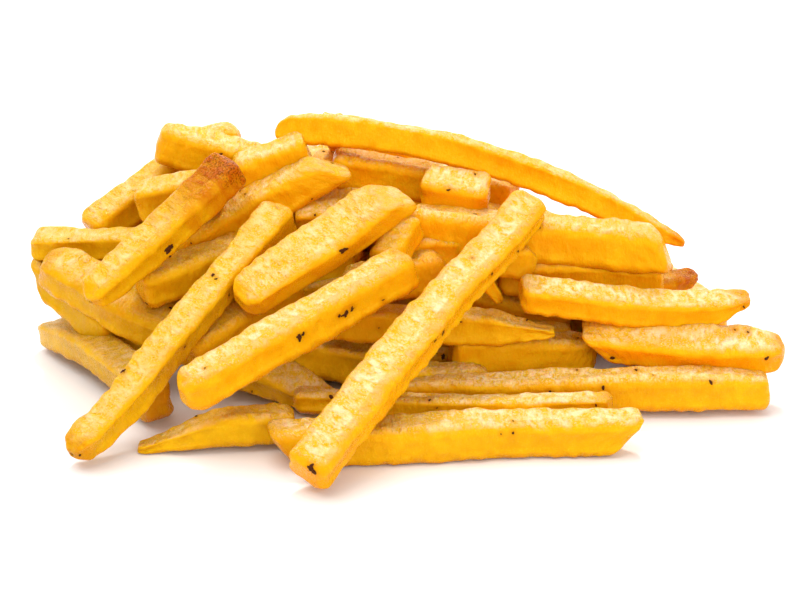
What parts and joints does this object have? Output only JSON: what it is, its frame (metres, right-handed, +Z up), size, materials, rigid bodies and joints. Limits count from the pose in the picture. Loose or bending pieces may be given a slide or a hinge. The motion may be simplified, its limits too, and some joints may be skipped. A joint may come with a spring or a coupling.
{
  "type": "heap of french fries",
  "caption": "Loose heap of straight-cut french fries lying crosswise on each other, with no dish or carton.",
  "frame": {"origin": "on the table, under the middle of the heap's box", "axes": "+X along the heap's length, to the right as pictured; +Y away from the camera; +Z up"},
  "size_m": [0.1761, 0.13, 0.0556],
  "materials": {
    "fried_potato": "fried potato crust: pale golden faces, deeper gold sides, satin with a thin film of oil"
  },
  "bodies": {
    "root": {"fries": "fried_potato"}
  },
  "joints": []
}
